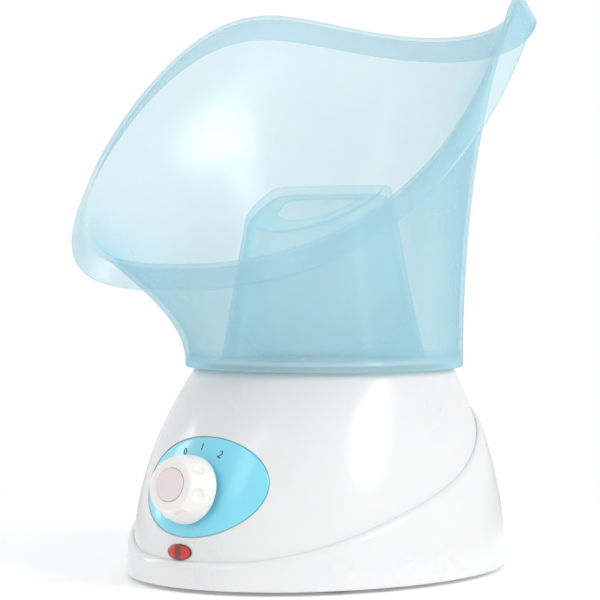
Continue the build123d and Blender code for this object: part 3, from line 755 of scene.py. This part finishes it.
# ==== Steam funnel ==========================================================
# A loose cone moulded in clear cyan SAN, 2 mm thick.  It starts round on the deck and ends in a
# D that slopes to the front; its top is dished down to a D-shaped outlet.
FUNNEL_R, FUNNEL_T, FUNNEL_TOP_Z, FUNNEL_BACK_Y = 52.7, 2.0, 194.6, 8.0
FUNNEL_HALF_W, FUNNEL_DEPTH, FUNNEL_FALL = 36.5, 46.0, 0.47
OUTLET_HALF_W, OUTLET_DEPTH, OUTLET_Y, DISH = 22.5, 26.0, 1.5, 2.6


def power(value, exponent):
    return (1 if value > 0 else -1) * abs(value) ** exponent


def d_point(a, half_w, front, back, mid_y, square=2.0):
    """Point of a D: half an ellipse to the front, and a back squared off by square."""
    if cos(a) > 0:
        return half_w * sin(a), mid_y - front * cos(a)
    return half_w * power(sin(a), 2 / square), mid_y + back * abs(cos(a)) ** (2 / square)


def funnel_point(a, t, inset=0.0):
    half_w = FUNNEL_R + (FUNNEL_HALF_W - FUNNEL_R) * t - inset
    front = FUNNEL_R + (FUNNEL_DEPTH - FUNNEL_R) * t - inset * (1 + t)
    back = (FUNNEL_R - inset) * (1 - t) + 2.5 * t
    x, y = d_point(a, half_w, front, back, (FUNNEL_BACK_Y - 2.5 - inset) * t, 2 + 1.6 * t ** 3)
    return x, y, SEAM_Z + (FUNNEL_TOP_Z - SEAM_Z) * t


def funnel_top(a, inset, drop):
    """Point of the wall where it meets the sloping top lowered by drop."""
    t = 0.9
    for _ in range(12):
        y = funnel_point(a, t, inset)[1]
        t = (FUNNEL_TOP_Z - FUNNEL_FALL * (FUNNEL_BACK_Y - y) - drop - SEAM_Z) / (FUNNEL_TOP_Z - SEAM_Z)
    return t


def wall_ring(angles, share, inset, drop):
    return [funnel_point(a, funnel_top(a, inset, drop) * share, inset) for a in angles]


def outlet_ring(angles, grow, drop):
    ring = []
    for a in angles:
        x, y = d_point(a, OUTLET_HALF_W + grow, OUTLET_DEPTH - 2.2 + grow, 2.2 + grow, OUTLET_Y - 2.2, 3.2)
        ring.append((x, y, FUNNEL_TOP_Z - FUNNEL_FALL * (FUNNEL_BACK_Y - y) - drop))
    return ring


def between(ring_a, ring_b, share, sag=0.0):
    return [tuple(p + (q - p) * share - (sag if k == 2 else 0) for k, (p, q) in enumerate(zip(a, b)))
            for a, b in zip(ring_a, ring_b)]


FUNNEL_POINTS = 168
angles = around(FUNNEL_POINTS)
rings = [round_ring(radius, SEAM_Z + up, FUNNEL_POINTS) for radius, up in (
    (FUNNEL_R - 2, 0.0), (53.2, 0.0), (53.5, 0.3), (53.5, 1.5), (53.0, 2.0))]
rings += [wall_ring(angles, 0.035 + 0.965 * i / 26, 0, 1.9) for i in range(27)]
for t in (0.35, 0.7, 1.05, 1.4):
    rings.append(wall_ring(angles, 1, 1.6 * (1 - cos(t)), 1.9 * (1 - sin(t))))
crown, brim = wall_ring(angles, 1, 1.7, 0.0), wall_ring(angles, 1, 2.5, 0.25)
rings += [crown, brim]
pan = wall_ring(angles, 1, 4.6, DISH)
rings += [between(brim, pan, s, d) for s, d in ((0.2, -0.25), (0.45, -0.1), (0.7, 0.15), (0.9, 0.12))]
mouth = outlet_ring(angles, 0.9, DISH)
rings += [pan] + [between(pan, mouth, s) for s in (0.3, 0.65)] + [mouth]
rings += [outlet_ring(angles, 0.25, DISH + 0.15), outlet_ring(angles, 0.0, DISH + 0.8),
          outlet_ring(angles, 0.0, DISH + 1.9), outlet_ring(angles, 0.4, DISH + 2.2)]
shelf = wall_ring(angles, 1, FUNNEL_T + 0.8, DISH + 2.2)
rings += [between(outlet_ring(angles, 0.4, DISH + 2.2), shelf, s) for s in (0.35, 0.7)] + [shelf]
rings += [wall_ring(angles, s, FUNNEL_T, DISH + 2.9) for s in [1 - i / 20 for i in range(20)]]
funnel = skin("steam_funnel_cone", rings, tube=True, smooth=60)


def clear_san(name, pale, deep, tint, cover, edge_cover, rough, foot, foot_rise=40.0):
    """Tinted clear SAN: light passes through with a tint, and the body colour deepens where the
    wall is seen edge-on.  The gloss is a little soft from the fine grained mould, with a peel of
    3 mm and slow flow drifts of 45 mm; the foot may be milkier where steam has hazed it."""
    made, tree = blank_material(name)
    where = put(tree, "TexCoord").outputs["Object"]
    flow = put(tree, "TexNoise", {"Vector": where}, Scale=1 / (45 * MM), Detail=2.0)
    peel = put(tree, "TexNoise", {"Vector": where}, Scale=1 / (3 * MM), Detail=2.0)
    edge = put(tree, "LayerWeight", Blend=0.42)
    lean = put(tree, "Math", {0: edge.outputs["Facing"]}, operation="POWER")
    lean.inputs[1].default_value = 1.6
    hue = put(tree, "Mix", {"Factor": lean.outputs[0]}, data_type="RGBA")
    hue.inputs[6].default_value, hue.inputs[7].default_value = linear(pale), linear(deep)
    thick = put(tree, "MapRange", {"Value": lean.outputs[0]}, To_Min=cover, To_Max=edge_cover)
    drift = put(tree, "MapRange", {"Value": flow.outputs["Fac"]}, From_Min=0.3, From_Max=0.7,
                To_Min=-0.03, To_Max=0.03)
    high = put(tree, "SeparateXYZ", {"Vector": where})
    haze = put(tree, "MapRange", {"Value": high.outputs["Z"]}, From_Min=SEAM_Z * MM,
               From_Max=(SEAM_Z + foot_rise) * MM, To_Min=foot, To_Max=0.0,
               interpolation_type="SMOOTHSTEP")
    sum_a = put(tree, "Math", {0: thick.outputs[0], 1: drift.outputs[0]}, operation="ADD")
    sum_b = put(tree, "Math", {0: sum_a.outputs[0], 1: haze.outputs[0]}, operation="ADD", use_clamp=True)
    dull = put(tree, "MapRange", {"Value": flow.outputs["Fac"]}, From_Min=0.3, From_Max=0.7,
               To_Min=rough - 0.03, To_Max=rough + 0.05)
    dents = put(tree, "Bump", {"Height": peel.outputs["Fac"]}, Strength=0.015, Distance=0.0008)
    body = put(tree, "BsdfPrincipled", {"Base Color": hue.outputs[2], "Roughness": dull.outputs[0],
                                        "Normal": dents.outputs[0]},
               IOR=1.57, Specular_IOR_Level=1.0, Subsurface_Weight=0.15, Subsurface_Scale=0.004)
    clear = put(tree, "BsdfTransparent", Color=linear(tint))
    both = put(tree, "MixShader", {0: sum_b.outputs[0], 1: clear.outputs[0], 2: body.outputs[0]})
    put(tree, "OutputMaterial", {"Surface": both.outputs[0]})
    return made


cyan_san = clear_san("clear_cyan_san", "#d6f4fa", "#96def0", "#f8fdfe", cover=0.1,
                     edge_cover=0.48, rough=0.2, foot=0.16)
fit(funnel, cyan_san, "funnel", "cyan_san", "steam_funnel")


# ==== Face mask =============================================================
# A loose bowl moulded in clear pale blue SAN, 2.2 mm thick.  Its round foot stands on the deck
# with a flange turned in; the wall flares to a saddle-shaped rim rolled over into an outer lip.
MASK_R, MASK_T, MASK_HOLE_R, FLANGE_T = 70.3, 2.2, 56.0, 2.6
LIP_R, LIP_DOWN, LIP_LEAN = 3.8, 12.1, 26.5


def crest(a):
    """Radius and height of the rim's top, angle a round from the front."""
    return (110.4 + 8.2 * cos(a) + 5.35 * cos(2 * a) - 5.9 * cos(3 * a),
            234.6 - 69.9 * cos(a) - 21.2 * cos(2 * a) + 9.0 * cos(3 * a) + 2.35 * cos(4 * a))


def bezier(points, steps):
    """Points along a Bezier curve, its first end left out."""
    made = []
    for i in range(1, steps + 1):
        row, t = [Vector(p) for p in points], i / steps
        while len(row) > 1:
            row = [p.lerp(q, t) for p, q in zip(row, row[1:])]
        made.append(row[0])
    return made


def arc(centre, radius, start, end, steps):
    """Points of an arc about a centre from one direction to another, its first end left out."""
    return [centre + Vector((cos(t), sin(t))) * radius
            for t in (start + (end - start) * i / steps for i in range(1, steps + 1))]


def mask_section(a):
    """Closed outline of wall, rolled lip and foot flange at angle a, in radius and height."""
    top = Vector(crest(a))
    bow = 0.5 - 0.17 * cos(a)       # how high the wall stays upright, as a share of its height
    rise = Vector((top.x - MASK_R, (top.y - SEAM_Z) * (1 - bow))).normalized()
    lean = radians(LIP_LEAN - 6 * cos(a))
    fall = Vector((sin(lean), -cos(lean)))
    hub = top - Vector((0, LIP_R))
    inward, outward = atan2(rise.x, -rise.y), lean
    length = (LIP_DOWN - LIP_R + LIP_R * sin(lean)) / cos(lean)
    across = Vector((cos(outward), sin(outward)))
    in_top = hub + Vector((cos(inward), sin(inward))) * LIP_R
    out_top = hub + Vector((cos(inward), sin(inward))) * (LIP_R - MASK_T)
    tip = hub + across * LIP_R + fall * length
    tip_in = tip - across * MASK_T
    foot_z = SEAM_Z + FLANGE_T
    outline = bezier([(MASK_R, SEAM_Z + 1.3), (MASK_R, SEAM_Z + (out_top.y - SEAM_Z) * bow), out_top], 26)
    outline += arc(hub, LIP_R - MASK_T, inward, outward, 6)
    outline += bezier([outline[-1], tip_in - fall * 0.7], 3)
    outline += bezier([tip_in - fall * 0.7, tip_in, (tip + tip_in) / 2, tip, tip - fall * 0.7], 6)
    outline += bezier([tip - fall * 0.7, hub + across * LIP_R], 5)
    outline += arc(hub, LIP_R, outward, inward, 12)
    outline += bezier([in_top, (MASK_R - MASK_T, SEAM_Z + (in_top.y - SEAM_Z) * bow),
                       (MASK_R - MASK_T, foot_z + 2)], 26)
    outline += bezier([(MASK_R - MASK_T, foot_z + 2), (MASK_R - MASK_T, foot_z),
                       (MASK_R - MASK_T - 2, foot_z)], 5)
    outline += [Vector(p) for p in ((62, foot_z), (MASK_HOLE_R + 0.4, foot_z), (MASK_HOLE_R, foot_z - 0.4),
                                    (MASK_HOLE_R, SEAM_Z + 0.4), (MASK_HOLE_R + 0.4, SEAM_Z), (62, SEAM_Z),
                                    (MASK_R - 1.3, SEAM_Z), (MASK_R - 0.5, SEAM_Z + 0.2),
                                    (MASK_R - 0.1, SEAM_Z + 0.6),
                                    (MASK_R, SEAM_Z + 1.3))]
    return outline


angles = around(216)
sections = [mask_section(a) for a in angles]
mask = skin("face_mask_bowl", [[(p.x * sin(a), -p.x * cos(a), p.y) for a, p in zip(angles, loop)]
                               for loop in zip(*sections)], tube=True, smooth=60)
blue_san = clear_san("clear_pale_blue_san", "#cbebf2", "#78d2e8", "#f3f9fb", cover=0.145,
                     edge_cover=0.6, rough=0.2, foot=0.3, foot_rise=9.0)
fit(mask, blue_san, "mask", "blue_san", "face_mask")
